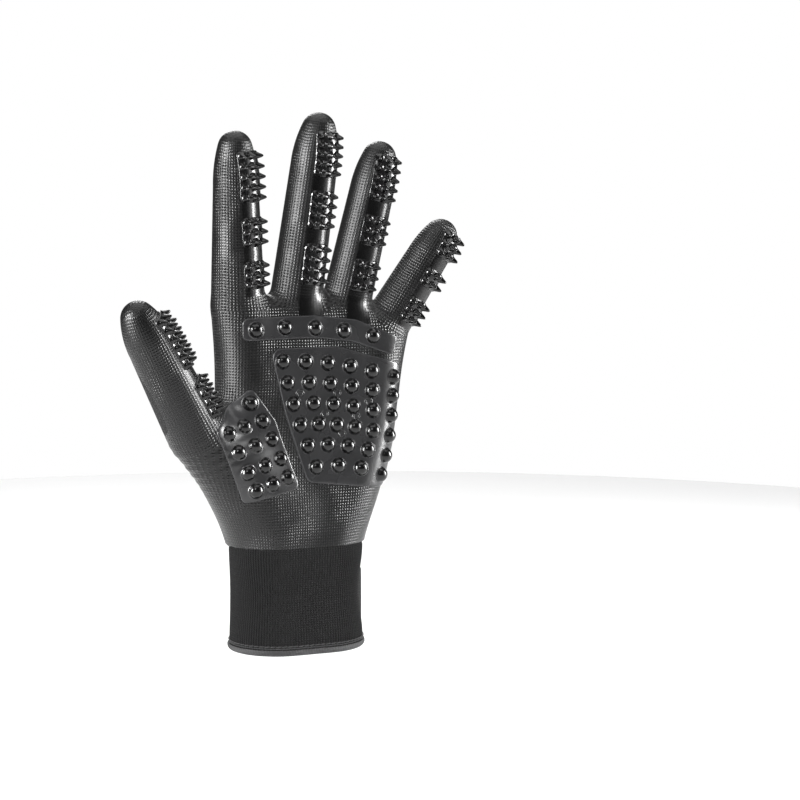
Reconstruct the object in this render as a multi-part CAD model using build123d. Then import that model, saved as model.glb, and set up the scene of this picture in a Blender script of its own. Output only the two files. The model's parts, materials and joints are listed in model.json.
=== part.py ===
"""Left-hand pet grooming glove: a knitted glove with a dipped palm, moulded rubber nubs and a wrist strap.

Frame, in millimetres: +Z runs from the wrist opening to the fingertips, the palm faces -Y, the thumb is on
the -X side, and the origin is the middle of the flat hem at the wrist opening. The glove is filled out as
if it were worn. Each digit is built in a frame of its own, with its axis along local +Z and its nubs
towards local -Y, and is cut into stalls that turn about pivots at the knuckles.
"""

from build123d import *
from math import asin, atan2, cos, degrees, radians, sin, sqrt, tan
import os

# ---- driving dimensions ---------------------------------------------------------------------------------
LINER_T = 1.0        # knitted liner
COAT_T = 0.5         # dipped palm coating on the liner
PLATE_T = 1.0        # base plate under the moulded nubs
COAT_EDGE_Y = 3.0    # the dip covers everything in front of this
TIP_DIP = 0.85       # share of a fingertip's rounded end that is dipped all round
NOSE_R = 6.0         # nose of every digit

# Knuckles. The pivots lie to the palm side of a stall's axis, and each cut has clearance on both sides.
PIVOT_SHIFT = 4.0
CLEARANCE = 0.2
ROOM = 1.6           # free space round a base stall inside the hand's edge
SWEEP = 40.0         # longer than any cross-section, for cutting shapes

# Sections of the hand from the cuff to the knuckles: height, centre X, width, depth.
CUFF_W, CUFF_D, CUFF_H, CUFF_T = 61.0, 44.0, 46.0, 1.6
HEM_H, HEM_PROUD, HEM_FOLD = 3.4, 0.7, 1.0
HAND_TOP = 150.0
HAND_SECTIONS = [
    (CUFF_H, 0.0, CUFF_W, CUFF_D),
    (57.0, 1.0, 67.0, 41.5),
    (70.0, 1.5, 76.0, 37.5),
    (88.0, 3.0, 83.0, 34.0),
    (112.0, 6.0, 86.0, 31.0),
    (135.0, 7.0, 87.0, 28.5),
    (HAND_TOP, 6.5, 87.0, 26.0),
]

# Pointed nubs on the digits, in rows across moulded blocks. NUB_R and NUB_H are above the plate.
NUB_R, NUB_TIP_R, NUB_H = 1.5, 0.35, 3.4
NUB_SINK = 1.0       # how far a nub's foot starts below the stall's surface, before it is trimmed
NUB_COLUMNS, NUB_ACROSS = 3, 4.3
BLOCK_W, BLOCK_R = 12.6, 2.0

# Round nubs on the palm: each row is left X, left Z, right X, right Z and how many there are.
DOME_R, DOME_H, DOME_SINK = 3.3, 2.9, 0.5
PAD_CORNER, SMALL_CORNER = 4.0, 2.5
PALM_ROWS = [
    (-11.7, 129.6, 41.0, 121.0, 6),
    (-9.8, 120.2, 40.4, 112.6, 6),
    (-7.2, 110.9, 39.8, 103.8, 6),
    (-4.3, 101.6, 38.9, 94.8, 6),
    (-1.0, 92.4, 37.0, 86.0, 5),
    (2.6, 82.8, 34.4, 77.6, 4),
]
ROW_BULGE = 2.2      # the middle of a row stands this much above the line between its ends
THENAR_ROWS = [
    (-26.6, 112.0, -26.6, 112.0, 1),
    (-39.0, 99.5, -22.0, 104.2, 3),
    (-35.0, 91.4, -18.0, 96.0, 3),
    (-30.8, 82.6, -14.6, 87.4, 3),
    (-27.0, 74.6, -11.8, 79.2, 3),
]
BAR_ROW = (-23.9, 143.6, 31.4, 139.6, 5)
PALM_PAD = [(-15.6, 134.6), (14.0, 134.8), (45.4, 126.0), (41.6, 90.0), (36.6, 72.0), (0.0, 77.0), (-9.0, 106.0)]
THENAR_PAD = [(-26.0, 118.0), (-44.5, 101.0), (-31.0, 69.6), (-6.5, 74.6), (-16.4, 104.0)]
BAR = [(-29.5, 148.6), (4.0, 149.4), (24.0, 147.0), (44.0, 139.0), (41.0, 130.5), (22.0, 137.2), (4.0, 139.4),
       (-29.5, 138.8)]

# Wrist strap, on the back of the cuff. Levels are measured outwards from the cuff's surface.
STRAP_Z0, STRAP_Z1, STRAP_END_X = 6.0, 33.0, -11.0
LOOP_LEVELS = (0.0, 0.8)
HOOK_LEVELS = (1.1, 1.9)
TAB_LEVELS = (1.9, 2.9)
PANEL_LEVELS = (2.9, 3.3)
EDGE_LEVELS = (2.9, 3.5)
STRAP_EDGE = 3.4     # width of the woven edge round the glossy panel
STRAP_END_R = 11.0
PATCH_MARGIN = 3.5
LOOP_BEYOND = 5.0    # how far the loop patch shows past the strap's free end
HINGE_ANGLE = 24.0   # where the strap leaves its sewn end, round the side of the cuff
ANCHOR_ANGLE = 18.0  # the sewn end's length, as an angle
ANCHOR_GAP = 0.3


class Digit:
    """A finger or the thumb: where its axis runs, how thick it is and where it bends."""

    def __init__(self, name, base, tip, radii, cap, roll, block_turn, bends, blocks, root):
        self.name = name
        self.base, self.tip = Vector(*base), Vector(*tip)
        self.length = (self.tip - self.base).length
        self.r_base, self.r_end = radii
        self.cap = cap                  # length of the rounded end
        nose = cap - NOSE_R             # the end is a long arc that runs into a round nose
        self.arc_r = (self.r_end ** 2 + nose ** 2 - NOSE_R ** 2) / (2 * (self.r_end - NOSE_R))
        self.block_turn = block_turn    # turn of the rows of nubs about the axis, degrees
        self.bends = bends              # (station, angle of the cut below, angle of the cut above) each
        self.blocks = blocks            # (start, end, rows of nubs) of each moulded block
        self.root_start, self.root_r = Vector(*root[0]), root[1]
        axis = (self.tip - self.base).normalized()
        side = Vector(cos(radians(roll)), sin(radians(roll)), 0)
        side = (side - axis * side.dot(axis)).normalized()
        self.plane = Plane(origin=base, x_dir=side, z_dir=axis)

    def radius(self, station):
        """Outer radius at a station along the axis."""
        straight = self.length - self.cap
        if station <= straight:
            return self.r_base + (self.r_end - self.r_base) * station / straight
        return self.r_end - self.arc_r + sqrt(self.arc_r ** 2 - (station - straight) ** 2)

    def place(self, shape):
        """Moves a shape from the digit's own frame to the glove's."""
        return self.plane.location * shape


FINGER_STALLS = ["base", "middle", "tip"]
THUMB_STALLS = ["base", "tip"]

DIGITS = [
    Digit("index", (-26.9, -0.5, 155.0), (-30.6, -8.0, 229.8), (11.9, 9.9), 24.0, 8.0, 17.0,
          [(0.0, 37.0, 10.0), (22.5, 18.5, 18.5), (41.6, 12.5, 12.5)],
          [(7.3, 19.4, 3), (25.6, 38.5, 3), (44.7, 67.0, 5)],
          ((-20.0, 0.0, 118.0), 13.5)),
    Digit("middle", (0.3, -0.3, 155.0), (9.2, -9.0, 238.0), (11.7, 10.3), 23.0, 6.0, 7.0,
          [(0.0, 37.0, 10.0), (30.5, 18.5, 18.5), (53.6, 12.5, 12.5)],
          [(9.0, 27.4, 4), (33.6, 50.6, 4), (56.6, 76.2, 5)],
          ((1.0, 0.0, 118.0), 13.5)),
    Digit("ring", (24.8, -0.4, 155.0), (39.2, -8.0, 225.6), (11.0, 9.9), 22.0, 3.0, 3.0,
          [(0.0, 37.0, 10.0), (23.1, 18.5, 18.5), (43.1, 12.5, 12.5)],
          [(5.5, 20.0, 3), (26.2, 40.0, 3), (46.2, 67.0, 5)],
          ((22.0, 0.0, 118.0), 13.0)),
    Digit("pinky", (43.8, -1.6, 144.3), (71.4, -9.0, 190.0), (10.6, 9.4), 19.0, 8.0, 14.0,
          [(0.0, 37.0, 10.0), (19.5, 18.5, 18.5), (34.5, 12.5, 12.5)],
          [(4.8, 16.4, 3), (22.6, 31.4, 2), (37.6, 50.0, 3)],
          ((34.0, 0.0, 116.0), 12.5)),
    Digit("thumb", (-50.9, -11.0, 100.5), (-83.0, -24.0, 157.0), (12.8, 10.6), 22.0, 50.0, 8.0,
          [(0.0, 29.0, 10.0), (27.0, 19.0, 19.0)],
          [(4.5, 23.4, 4), (30.6, 57.0, 6)],
          ((-14.0, -1.0, 62.0), 17.0)),
]
THUMB = DIGITS[-1]


# ---- the glove's outer form -----------------------------------------------------------------------------
def oval(width, depth, z, x=0.0):
    """A flat-sided oval section at a height."""
    return Pos(x, 0, z) * SlotOverall(width, depth)


def hand_body(inset):
    """The hand from the cuff to the knuckles without digits, made smaller by inset on every side."""
    sections = []
    for z, x, width, depth in HAND_SECTIONS:
        level = z - inset if z == HAND_TOP else z
        sections.append(oval(width - 2 * inset, depth - 2 * inset, level, x))
    return loft(sections)


def cone_between(start, end, r_start, r_end):
    """A truncated cone from start to end."""
    run = end - start
    plane = Plane(origin=start, z_dir=run.normalized())
    cone = Cone(r_start, r_end, run.length, align=(Align.CENTER, Align.CENTER, Align.MIN))
    return plane.location * cone


def digit_root(digit, inset):
    """The part of a digit that belongs to the hand, from inside the palm to just past its knuckle."""
    beyond = digit.base + digit.plane.z_dir
    return cone_between(digit.root_start, beyond, digit.root_r - inset, digit.r_base - inset)


def hand_solid(inset):
    """The hand with the roots of all the digits."""
    return hand_body(inset) + [digit_root(digit, inset) for digit in DIGITS]


def stall_solid(digit, inset):
    """A whole digit as a solid of revolution in its own frame, made smaller by inset."""
    straight = digit.length - digit.cap
    r0, r1 = digit.r_base - inset, digit.r_end - inset
    turn = degrees(atan2(digit.cap - NOSE_R, digit.arc_r - digit.r_end))
    side = Line((r0, 0), (r1, straight))
    arc = CenterArc((digit.r_end - digit.arc_r, straight), digit.arc_r - inset, 0, turn)
    nose = CenterArc((0, digit.length - NOSE_R), NOSE_R - inset, turn, 90 - turn)
    axis = Line((0, digit.length - inset), (0, 0))
    floor = Line((0, 0), (r0, 0))
    profile = Plane.XZ * make_face(Curve() + [side, arc, nose, axis, floor])
    return revolve(profile, Axis.Z)


# ---- the knuckles' cuts ---------------------------------------------------------------------------------
def cut_line(station, angle, up):
    """One side of a knuckle's cut in the local YZ plane: square behind the pivot, sloping in front of it."""
    way = 1 if up else -1
    z = station + way * CLEARANCE
    slope = (SWEEP - PIVOT_SHIFT) * tan(radians(angle))
    return [(SWEEP, z), (-PIVOT_SHIFT, z), (-SWEEP, z + way * slope)]


def between_cuts(digit, number):
    """The space that one stall may fill in its digit's frame, from its own cut to the next."""
    station, _, above = digit.bends[number]
    points = cut_line(station, above, True)
    if number + 1 < len(digit.bends):
        station, below, _ = digit.bends[number + 1]
        points += reversed(cut_line(station, below, False))
    else:
        far = digit.length + SWEEP
        points += [(-SWEEP, far), (SWEEP, far)]
    return extrude(Plane.YZ * make_face(Polyline(*points, close=True)), SWEEP, both=True)


def knuckle_room(digit):
    """What the first knuckle's cut takes from the hand, so that the base stall can turn in it."""
    station, below, _ = digit.bends[0]
    points = cut_line(station, below, False) + [(-SWEEP, 2 * SWEEP), (SWEEP, 2 * SWEEP)]
    wedge = extrude(Plane.YZ * make_face(Polyline(*points, close=True)), SWEEP, both=True)
    return digit.place(wedge & Cylinder(digit.r_base + ROOM, 4 * SWEEP))


def clear_of_knuckles(shape):
    """Takes the room of every first knuckle out of a piece of the hand."""
    return shape - [knuckle_room(digit) for digit in DIGITS]


# ---- the moulded nubs -----------------------------------------------------------------------------------
def nub(digit, station, angle):
    """A pointed nub at an angle round the axis from the plate's middle, with its foot inside the stall."""
    flare = (NUB_R - NUB_TIP_R) / NUB_H * (PLATE_T + NUB_SINK)
    length = NUB_H + PLATE_T + NUB_SINK
    cone = Cone(NUB_R + flare, NUB_TIP_R, length, align=(Align.CENTER, Align.CENTER, Align.MIN))
    foot = digit.radius(station) - NUB_SINK
    return Pos(0, 0, station) * Rot(0, 0, angle) * Pos(0, -foot, 0) * Rot(90, 0, 0) * cone


def block(digit, number):
    """One moulded block: a plate that follows the stall, with rows of pointed nubs on it."""
    start, end, rows = digit.blocks[number]
    outline = Pos(0, (start + end) / 2) * RectangleRounded(BLOCK_W, end - start, BLOCK_R)
    plate = stall_solid(digit, -PLATE_T) & extrude(Plane.XZ * outline, SWEEP)
    pitch = (end - start) / rows
    nubs = []
    for row in range(rows):
        station = start + pitch * (row + 0.5)
        step = degrees(NUB_ACROSS / (digit.radius(station) + PLATE_T))
        nubs += [nub(digit, station, step * (i - (NUB_COLUMNS - 1) / 2)) for i in range(NUB_COLUMNS)]
    return Rot(0, 0, digit.block_turn) * ((plate + nubs) - stall_solid(digit, 0))


def section_at(z):
    """Centre X, width and depth of the hand at a height."""
    for low, high in zip(HAND_SECTIONS, HAND_SECTIONS[1:]):
        if low[0] <= z <= high[0]:
            share = (z - low[0]) / (high[0] - low[0])
            return [a + (b - a) * share for a, b in zip(low[1:], high[1:])]


def palm_front(x, z):
    """Y of the hand's front surface, and the angle by which it faces the little-finger side."""
    centre, width, depth = section_at(z)
    radius = depth / 2
    across = abs(x - centre) - (width / 2 - radius)
    if across <= 0:
        return -radius, 0.0
    lean = asin(min(0.95, across / radius))
    return -radius * cos(lean), degrees(lean) * (1 if x > centre else -1)


def thenar_front(x, z):
    """Y of the thumb root's front surface, or 0 away from it."""
    start, run = THUMB.root_start, THUMB.base - THUMB.root_start
    flat = sqrt(run.X ** 2 + run.Z ** 2)
    share = ((x - start.X) * run.X + (z - start.Z) * run.Z) / flat ** 2
    across = ((x - start.X) * run.Z - (z - start.Z) * run.X) / flat
    radius = THUMB.root_r + (THUMB.r_base - THUMB.root_r) * share
    if not 0 <= share <= 1 or abs(across) >= radius:
        return 0.0
    return start.Y + run.Y * share - sqrt(radius ** 2 - across ** 2)


def on_palm(x, z, shape):
    """Stands a shape that was drawn on the XY plane on the palm's pads."""
    y, lean = palm_front(x, z)
    raised = thenar_front(x, z)
    if raised < y:
        y, lean = raised, 0.0
    return Pos(x, y - PLATE_T * cos(radians(lean)), z) * Rot(0, 0, lean) * Rot(90, 0, 0) * shape


def dome(x, z):
    """A round nub."""
    ball_r = (DOME_R ** 2 + DOME_H ** 2) / (2 * DOME_H)
    ball = Pos(0, 0, DOME_H - ball_r) * Sphere(ball_r)
    keep = Pos(0, 0, (DOME_H - DOME_SINK) / 2) * Box(SWEEP, SWEEP, DOME_H + DOME_SINK)
    return on_palm(x, z, ball & keep)


def row_of_domes(x0, z0, x1, z1, count):
    """Round nubs in an arched row."""
    if count == 1:
        return [dome(x0, z0)]
    shares = [i / (count - 1) for i in range(count)]
    bulge = ROW_BULGE if count > 3 else 0.0
    return [dome(x0 + (x1 - x0) * t, z0 + (z1 - z0) * t + bulge * 4 * t * (1 - t)) for t in shares]


def palm_pad(points, radius, rows):
    """A moulded pad on the palm: a plate of even thickness that follows the hand, with its nubs."""
    outline = make_face(Polyline(*points, close=True))
    outline = fillet(outline.vertices(), radius)
    column = extrude(Plane.XZ * outline, SWEEP)
    plate = clear_of_knuckles((hand_body(-PLATE_T) + digit_root(THUMB, -PLATE_T)) & column)
    nubs = [nub for row in rows for nub in row_of_domes(*row)]
    return (plate + nubs) - hand_solid(0)


# ---- the cuff and its strap -----------------------------------------------------------------------------
def cuff_shell(levels, z0, z1):
    """A band round the cuff between two levels above its surface."""
    low, high = levels
    outer = extrude(oval(CUFF_W + 2 * high, CUFF_D + 2 * high, z0), z1 - z0)
    return outer - extrude(oval(CUFF_W + 2 * low, CUFF_D + 2 * low, z0), z1 - z0)


def past_angle(angle):
    """A half-space at the cuff's little-finger side, beyond a radial plane at an angle from +X."""
    centre = Pos((CUFF_W - CUFF_D) / 2, 0, 0)
    return centre * Rot(0, 0, angle) * Pos(0, 2 * SWEEP, SWEEP / 2) * Box(4 * SWEEP, 4 * SWEEP, 2 * SWEEP)


def largest(shape):
    """The main solid of a cut shape, without the crumbs round it."""
    return max(shape.solids(), key=lambda solid: solid.volume)


def strap_outline(inset, beyond=0.0):
    """The strap's outline from behind, with its round free end, out past the side of the cuff."""
    left = STRAP_END_X - beyond + inset
    height = STRAP_Z1 - STRAP_Z0 - 2 * inset
    right = CUFF_W
    radius = max(1.0, STRAP_END_R - inset)
    flat = Pos((left + right) / 2, (STRAP_Z0 + STRAP_Z1) / 2) * RectangleRounded(right - left, height, radius)
    return Pos(0, -SWEEP / 4, 0) * extrude(Plane.XZ * flat, -2 * SWEEP)


def strap_layer(levels, inset):
    """One layer of the strap, from its hinge line to the free end."""
    band = cuff_shell(levels, STRAP_Z0 + inset, STRAP_Z1 - inset)
    return band & strap_outline(inset) & past_angle(HINGE_ANGLE)


def patch(levels, beyond, right):
    """A hook or loop patch between the cuff and the strap."""
    layer = cuff_shell(levels, STRAP_Z0 + PATCH_MARGIN, STRAP_Z1 - PATCH_MARGIN)
    keep = Pos(right - 2 * SWEEP, 2 * SWEEP, SWEEP / 2) * Box(4 * SWEEP, 4 * SWEEP, 2 * SWEEP)
    return layer & strap_outline(PATCH_MARGIN, beyond) & keep


# ---- build ----------------------------------------------------------------------------------------------
def build_hand():
    outer, middle, inner = (hand_solid(i) for i in (0, COAT_T, COAT_T + LINER_T))
    front = Pos(0, COAT_EDGE_Y - 2 * SWEEP, HAND_TOP / 2) * Box(6 * SWEEP, 4 * SWEEP, 6 * SWEEP)
    return {
        "palm_liner": clear_of_knuckles(middle) - inner,
        "palm_coating": largest((clear_of_knuckles(outer) & front) - middle),
        "palm_pad": palm_pad(PALM_PAD, PAD_CORNER, PALM_ROWS),
        "thenar_pad": palm_pad(THENAR_PAD, SMALL_CORNER, THENAR_ROWS),
        "knuckle_bar": palm_pad(BAR, SMALL_CORNER, [BAR_ROW]),
    }


def build_cuff():
    tube = cuff_shell((-CUFF_T, 0.0), HEM_FOLD, CUFF_H)
    fold = cuff_shell((-CUFF_T - HEM_PROUD, HEM_PROUD), 0.0, HEM_H)
    sewn = cuff_shell((0.0, TAB_LEVELS[1]), STRAP_Z0, STRAP_Z1) & strap_outline(0.0)
    sewn = sewn & past_angle(HINGE_ANGLE - ANCHOR_ANGLE)
    reach = CUFF_D / 2 + EDGE_LEVELS[1]
    return {
        "cuff": tube,
        "hem": fold - tube,
        "loop_patch": patch(LOOP_LEVELS, LOOP_BEYOND, 18.0),
        "strap_anchor": sewn - past_angle(HINGE_ANGLE - degrees(ANCHOR_GAP / reach)),
    }


def build_strap():
    frame = strap_layer(EDGE_LEVELS, 0.0)
    return {
        "strap_tab": strap_layer(TAB_LEVELS, 0.0),
        "strap_edge": frame - strap_layer(EDGE_LEVELS, STRAP_EDGE),
        "strap_panel": strap_layer(PANEL_LEVELS, STRAP_EDGE),
        "hook_patch": patch(HOOK_LEVELS, 0.0, 14.0),
    }


def build_digit(digit):
    outer, middle, inner = (stall_solid(digit, i) for i in (0, COAT_T, COAT_T + LINER_T))
    dipped = Pos(0, COAT_EDGE_Y - 2 * SWEEP, 0) * Box(4 * SWEEP, 4 * SWEEP, 6 * SWEEP)
    dipped_from = digit.length - TIP_DIP * digit.cap
    tip = Pos(0, 0, dipped_from + SWEEP) * Box(4 * SWEEP, 4 * SWEEP, 2 * SWEEP)
    stalls = FINGER_STALLS if len(digit.bends) == len(FINGER_STALLS) else THUMB_STALLS
    pieces = {}
    for number, stall in enumerate(stalls):
        space = between_cuts(digit, number)
        covered = dipped + tip if stall == "tip" else dipped
        node = f"{digit.name}_{stall}"
        pieces[node + "_liner"] = digit.place((middle - inner) & space)
        pieces[node + "_coating"] = digit.place((outer - middle) & space & covered)
        pieces[node + "_nubs"] = digit.place(block(digit, number))
    return pieces


if __name__ == "__main__":
    os.makedirs("parts", exist_ok=True)
    parts = {**build_hand(), **build_cuff(), **build_strap()}
    for digit in DIGITS:
        parts.update(build_digit(digit))
    for node, shape in parts.items():
        solids = shape.solids()
        export_step(solids[0] if len(solids) == 1 else Compound(solids), f"parts/{node}.step")
        print(node, len(solids), round(shape.volume, 1))
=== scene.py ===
import bpy
import json
import math
import numpy as np
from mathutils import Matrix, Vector
from mathutils.geometry import delaunay_2d_cdt


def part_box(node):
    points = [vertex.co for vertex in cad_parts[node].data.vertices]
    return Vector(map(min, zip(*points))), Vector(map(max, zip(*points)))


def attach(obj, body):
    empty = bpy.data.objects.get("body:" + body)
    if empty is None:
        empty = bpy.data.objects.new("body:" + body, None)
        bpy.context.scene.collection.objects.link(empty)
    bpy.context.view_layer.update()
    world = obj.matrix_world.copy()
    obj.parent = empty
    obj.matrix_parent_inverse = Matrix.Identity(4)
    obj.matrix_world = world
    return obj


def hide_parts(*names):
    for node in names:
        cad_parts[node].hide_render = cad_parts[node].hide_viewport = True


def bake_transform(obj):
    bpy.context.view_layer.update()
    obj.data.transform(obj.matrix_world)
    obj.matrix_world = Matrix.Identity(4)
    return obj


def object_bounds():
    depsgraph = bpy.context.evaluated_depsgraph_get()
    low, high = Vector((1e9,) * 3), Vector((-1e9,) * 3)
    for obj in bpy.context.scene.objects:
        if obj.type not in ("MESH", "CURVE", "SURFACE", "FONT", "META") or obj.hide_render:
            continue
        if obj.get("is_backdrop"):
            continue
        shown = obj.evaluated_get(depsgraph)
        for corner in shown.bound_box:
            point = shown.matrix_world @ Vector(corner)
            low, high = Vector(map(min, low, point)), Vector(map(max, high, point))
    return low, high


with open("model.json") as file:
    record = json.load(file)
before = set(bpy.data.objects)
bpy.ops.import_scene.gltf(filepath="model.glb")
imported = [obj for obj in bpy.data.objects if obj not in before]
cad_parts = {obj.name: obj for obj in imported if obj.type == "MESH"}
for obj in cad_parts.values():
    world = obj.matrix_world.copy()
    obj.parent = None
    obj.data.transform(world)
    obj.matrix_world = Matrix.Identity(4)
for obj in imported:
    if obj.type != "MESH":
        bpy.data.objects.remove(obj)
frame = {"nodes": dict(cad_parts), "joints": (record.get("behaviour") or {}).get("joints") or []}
cad_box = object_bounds()
NODES = frame["nodes"]
JOINTS = {j["name"]: j for j in frame["joints"]}

# ------------------------------------------------------------------------------------------------
# Sizes of the soft form, in millimetres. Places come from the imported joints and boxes.
PIVOT_SHIFT = 4.0
CELL = 1.0
FINGERS = ("index", "middle", "ring", "pinky")
STALLS = {name: ["base", "middle", "tip"] for name in FINGERS} | {"thumb": ["base", "tip"]}
BEND = {"base": "knuckle", "middle": "middle_bend", "tip": "tip_bend"}
GIRTH = {  # radius at the root, radius before the rounded end, length of the rounded end
    "index": (11.9, 9.9, 24.0),
    "middle": (11.7, 10.3, 23.0),
    "ring": (11.0, 9.9, 22.0),
    "pinky": (10.6, 9.4, 19.0),
    "thumb": (12.8, 10.6, 22.0),
}
NOSE_R = 7.6
STALL_DEPTH = 22.0  # how far each stall's cone runs on below its root
FINGER_BLEND, THUMB_BLEND = 4.0, 13.0
ROOT_TAPER = 0.022  # how fast a stall narrows below its root, so that it runs into the hand
ROOTS = {  # where each digit's root starts inside the hand, and its radius there
    "index": ((-20.0, 0.0, 118.0), 13.5),
    "middle": ((1.0, 0.0, 118.0), 13.5),
    "ring": ((22.0, 0.0, 118.0), 13.0),
    "pinky": ((34.0, 0.0, 116.0), 12.5),
    "thumb": ((-14.0, -1.0, 62.0), 17.0),
}
SECTIONS = np.array(
    [  # height, centre X, width, depth
        (30.0, 0.0, 61.0, 44.0),
        (46.0, 0.0, 61.0, 44.0),
        (57.0, 1.0, 67.0, 41.5),
        (70.0, 1.5, 76.0, 37.5),
        (88.0, 3.0, 83.0, 34.0),
        (112.0, 6.0, 86.0, 31.0),
        (135.0, 7.0, 87.0, 28.5),
        (148.0, 6.5, 86.5, 26.0),
        (156.0, 6.5, 86.0, 19.0),
        (166.0, 6.5, 86.0, 12.0),
    ]
)
WEB_TOP = ((-60.0, 157.0), (12.0, 157.5), (26.0, 154.0), (37.0, 150.0), (52.0, 140.0))
# Where the knit turns from one body to the next, as stations along each digit.
KNUCKLE = {"index": (5.5, 18.0), "middle": (5.5, 20.0), "ring": (5.8, 18.3), "pinky": (6.0, 15.1)}
BENDS = {  # (start, end) of each later bend
    "index": [(18.2, 28.0), (36.0, 47.0)],
    "middle": [(25.0, 36.0), (48.0, 59.0)],
    "ring": [(18.5, 28.5), (38.0, 48.5)],
    "pinky": [(15.2, 24.5), (29.5, 39.5)],
    "thumb": [(22.0, 33.0)],
}


def unit(v):
    v = np.asarray(v, float)
    return v / np.linalg.norm(v)


def ease(t):
    """0 to 1, level at both ends."""
    t = np.clip(t, 0, 1)
    return t * t * (3 - 2 * t)


def in_mm(corners):
    return [np.array(v, float) * 1000.0 for v in corners]


def node_points(node):
    mesh = NODES[node].data
    co = np.empty(len(mesh.vertices) * 3, np.float32)
    mesh.vertices.foreach_get("co", co)
    return co.reshape(-1, 3).astype(float) * 1000.0


class Digit:
    """A digit's own frame: axis up the stall, side along its hinges, back away from the palm."""

    def __init__(self, name):
        self.name = name
        self.stalls = STALLS[name]
        joints = [JOINTS[f"{name}_{BEND[s]}"] for s in self.stalls]
        pivots = [np.array(j["pos_m"], float) * 1000.0 for j in joints]
        self.side = unit(joints[0]["axis"])
        self.axis = unit(pivots[1] - pivots[0])
        self.back = np.cross(self.axis, self.side)
        self.base = pivots[0] + self.back * PIVOT_SHIFT
        self.stations = [float((p - pivots[0]) @ self.axis) for p in pivots]
        tip = node_points(f"{name}_tip_coating")
        self.length = float(((tip - self.base) @ self.axis).max())
        self.r0, self.r1, self.cap = GIRTH[name]
        self.straight = self.length - self.cap
        nose = self.cap - NOSE_R
        self.arc = (self.r1**2 + nose**2 - NOSE_R**2) / (2 * (self.r1 - NOSE_R))
        self.turn = math.atan2(nose, self.arc - self.r1)

    def local(self, p):
        q = p - self.base
        return q @ self.side, q @ self.back, q @ self.axis

    def polar(self, p):
        """Angles round the axis from the palm side, distances from it and stations."""
        x, y, s = self.local(p)
        return np.arctan2(x, -y), np.maximum(np.hypot(x, y), 4.0), s

    def out(self, angle):
        """The way out from the axis, at an angle round it from the palm side."""
        angle = np.asarray(angle, float)[..., None]
        return self.side * np.sin(angle) - self.back * np.cos(angle)

    def point(self, angle, station, rho):
        station, rho = (np.asarray(v, float)[..., None] for v in (station, rho))
        return self.base + self.axis * station + self.out(angle) * rho

    def radius(self, s):
        s = np.asarray(s, float)
        cone = self.r0 + (self.r1 - self.r0) * s / self.straight
        t = np.clip(s - self.straight, 0, None)
        arc = self.r1 - self.arc + np.sqrt(np.maximum(self.arc**2 - t**2, 0))
        ball = np.sqrt(np.maximum(NOSE_R**2 - (s - self.length + NOSE_R) ** 2, 0))
        switch = self.length - NOSE_R + NOSE_R * math.sin(self.turn)
        return np.where(s < self.straight, cone, np.where(s < switch, arc, ball))

    def distance(self, p):
        x, y, s = self.local(p)
        rho = np.hypot(x, y)
        slope = (self.r1 - self.r0) / self.straight
        below = np.minimum(s, 0.0)
        cone = (rho - self.r0 - slope * s + ROOT_TAPER * below**2) / math.sqrt(1 + slope**2)
        cone = np.maximum(cone, -(s + STALL_DEPTH))
        dx, dz = rho - (self.r1 - self.arc), s - self.straight
        arc = np.hypot(dx, dz) - self.arc
        ball = np.hypot(rho, s - self.length + NOSE_R) - NOSE_R
        past = np.arctan2(dz, dx) > self.turn
        stall = np.where(s < self.straight, cone, np.where(past, ball, arc))
        start, r = np.array(ROOTS[self.name][0]), ROOTS[self.name][1]
        run = self.base - start
        t = np.clip((p - start) @ run / (run @ run), 0, 1)
        off = p - start - t[:, None] * run
        root = np.sqrt(np.einsum("ij,ij->i", off, off)) - (r + (self.r0 - r) * t)
        return np.minimum(stall, root)


DIGITS = {name: Digit(name) for name in STALLS}


# ------------------------------------------------------------------------------------------------
# The glove's form as a distance field.
def smoothed_sections():
    z = np.arange(SECTIONS[0, 0], SECTIONS[-1, 0] + 0.5, 0.5)
    kernel = np.exp(-0.5 * (np.arange(-24, 25) / 9.0) ** 2)
    kernel /= kernel.sum()
    rows = []
    for column in (1, 2, 3):
        v = np.interp(z, SECTIONS[:, 0], SECTIONS[:, column])
        rows.append(np.convolve(np.pad(v, 24, mode="edge"), kernel, mode="valid"))
    return z, rows


SECTION_Z, SECTION_ROWS = smoothed_sections()


def section(z):
    return [np.interp(z, SECTION_Z, row) for row in SECTION_ROWS]


def smin(a, b, k):
    h = np.maximum(k - np.abs(a - b), 0) / k
    return np.minimum(a, b) - h * h * k / 4


def hand_distance(p):
    x, y, z = p[:, 0], p[:, 1], p[:, 2]
    centre, width, depth = section(z)
    half = depth / 2
    across = np.maximum(np.abs(x - centre) - (width / 2 - half), 0)
    wall = np.hypot(across, y) - half
    top = z - np.interp(x, [w[0] for w in WEB_TOP], [w[1] for w in WEB_TOP])
    return -smin(-wall, -top, 6.0)


def glove_distance(p):
    f = hand_distance(p)
    f = smin(f, DIGITS["thumb"].distance(p), THUMB_BLEND)
    for name in FINGERS:
        f = smin(f, DIGITS[name].distance(p), FINGER_BLEND)
    return f - creases(p)


def creases(p):
    """Shallow folds in the knit where the thumb's root meets the palm."""
    d = DIGITS["thumb"]
    x, y, s = d.local(p)
    near = np.exp(-(((s + 14) / 14) ** 2)) * np.exp(-(((x + 4) / 12) ** 2))
    return 0.16 * near * np.sin(s * 1.5 + x * 0.35 + 0.8 * np.sin(x * 0.22))


def gradient(p, h=0.2):
    g = np.empty_like(p)
    for a in range(3):
        step = np.zeros(3)
        step[a] = h
        g[:, a] = (glove_distance(p + step) - glove_distance(p - step)) / (2 * h)
    return g


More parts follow.
